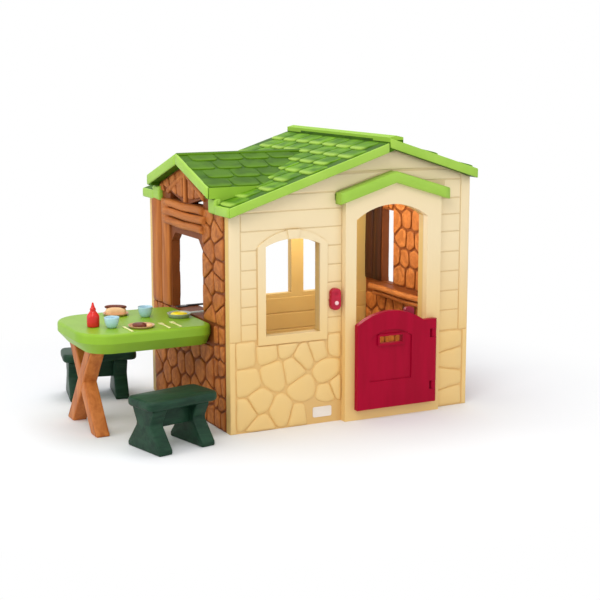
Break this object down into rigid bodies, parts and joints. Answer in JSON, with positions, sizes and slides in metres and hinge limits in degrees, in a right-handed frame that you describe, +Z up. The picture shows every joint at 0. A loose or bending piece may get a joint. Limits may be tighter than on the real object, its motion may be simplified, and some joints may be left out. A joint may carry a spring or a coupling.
{
  "type": "toy playhouse",
  "caption": "Child's moulded plastic cabin with half door, door bell, arched windows, gabled shingle roof, joined picnic table, loose benches and toy tableware.",
  "frame": {"origin": "middle of the whole set's footprint, on the floor", "axes": "+X to the right along the door front, with the table at the -X end; +Y from the door front to the back; +Z up"},
  "size_m": [1.794, 1.244, 1.256],
  "materials": {
    "cream_wall": "moulded, satin, stone and siding relief",
    "stone_wall": "moulded, streaked orange-brown stone and log relief",
    "roof_green": "moulded shingles, satin",
    "trim_green": "smooth",
    "door_red": "smooth with fine grain",
    "bracket": "smooth",
    "steel": "zinc plated",
    "bell_red": "glossy",
    "bell_inner": "moulded",
    "circuit": "laminate",
    "button": "glossy",
    "plate_white": "blank",
    "table_green": "smooth moulded",
    "leg_orange": "moulded wood grain",
    "bench_green": "moulded wood grain",
    "toy_red": "glossy",
    "toy_plate": "glossy",
    "toy_bread": "satin",
    "toy_meat": "satin",
    "toy_blue": "glossy",
    "toy_cream": "glossy",
    "toy_grey": "glossy",
    "toy_yellow": "glossy",
    "toy_black": "glossy"
  },
  "bodies": {
    "house": {"front_wall": "cream_wall", "back_wall": "cream_wall", "patio_wall": "stone_wall", "side_wall": "stone_wall", "roof_left": "roof_green", "roof_right": "roof_green", "door_pediment": "trim_green", "blank_plate": "plate_white", "hinge_bracket_upper": "bracket", "hinge_bracket_lower": "bracket", "back_screws": "steel", "table_screws": "steel", "bell_base": "bell_inner", "bell_cover": "bell_red", "bell_board": "circuit", "bell_speaker": "bell_inner", "bell_cells": "steel", "bell_screws": "steel", "button_spring": "steel", "table_top": "table_green", "table_leg": "leg_orange"},
    "door": {"door_panel": "door_red", "hinge_pin_lower": "steel", "hinge_pin_upper": "steel", "door_handle": "bracket"},
    "bell_button": {"bell_button": "button"},
    "near_bench": {"near_bench_seat": "bench_green", "near_bench_leg_left": "bench_green", "near_bench_leg_right": "bench_green", "near_bench_apron": "bench_green"},
    "far_bench": {"far_bench_seat": "bench_green", "far_bench_leg_left": "bench_green", "far_bench_leg_right": "bench_green", "far_bench_apron": "bench_green"},
    "ketchup": {"ketchup_bottle": "toy_red"},
    "sandwich": {"sandwich_plate": "toy_plate", "bread_roll": "toy_bread", "sausage": "toy_meat"},
    "steak_dish": {"steak_plate": "toy_plate", "steak": "toy_meat", "bread_slice": "toy_bread"},
    "cup_near": {"cup_near": "toy_blue"},
    "cup_far": {"cup_far": "toy_blue"},
    "fork_left": {"fork_left": "toy_cream"},
    "fork_right": {"fork_right": "toy_cream"},
    "knife": {"table_knife": "toy_cream"},
    "pan": {"frying_pan": "toy_grey", "fried_egg": "toy_yellow"},
    "spatula": {"spatula": "toy_black"}
  },
  "joints": [
    {"name": "door_swing", "type": "hinge", "parent": "house", "child": "door", "pos_m": [0.669, -0.5055, 0.24], "axis": [0, 0, 1], "range_deg": [0, 115]},
    {"name": "bell_press", "type": "slide", "parent": "house", "child": "bell_button", "axis": [0, 1, 0], "range_m": [0, 0.003], "stiffness_N_per_m": 300, "springref_m": -0.001, "deforming": ["button_spring"]},
    {"name": "near_bench_slide", "type": "slide", "parent": "house", "child": "near_bench", "axis": [0, -1, 0], "range_m": [0, 0.3]},
    {"name": "far_bench_slide", "type": "slide", "parent": "house", "child": "far_bench", "axis": [0, 1, 0], "range_m": [0, 0.3]},
    {"name": "ketchup_lift", "type": "slide", "parent": "house", "child": "ketchup", "axis": [0, 0, 1], "range_m": [0, 0.15]},
    {"name": "sandwich_lift", "type": "slide", "parent": "house", "child": "sandwich", "axis": [0, 0, 1], "range_m": [0, 0.15]},
    {"name": "steak_dish_lift", "type": "slide", "parent": "house", "child": "steak_dish", "axis": [0, 0, 1], "range_m": [0, 0.15]},
    {"name": "cup_near_lift", "type": "slide", "parent": "house", "child": "cup_near", "axis": [0, 0, 1], "range_m": [0, 0.15]},
    {"name": "cup_far_lift", "type": "slide", "parent": "house", "child": "cup_far", "axis": [0, 0, 1], "range_m": [0, 0.15]},
    {"name": "fork_left_lift", "type": "slide", "parent": "house", "child": "fork_left", "axis": [0, 0, 1], "range_m": [0, 0.15]},
    {"name": "fork_right_lift", "type": "slide", "parent": "house", "child": "fork_right", "axis": [0, 0, 1], "range_m": [0, 0.15]},
    {"name": "knife_lift", "type": "slide", "parent": "house", "child": "knife", "axis": [0, 0, 1], "range_m": [0, 0.15]},
    {"name": "pan_lift", "type": "slide", "parent": "house", "child": "pan", "axis": [0, 0, 1], "range_m": [0, 0.15]},
    {"name": "spatula_lift", "type": "slide", "parent": "house", "child": "spatula", "axis": [0, 0, 1], "range_m": [0, 0.15]}
  ]
}
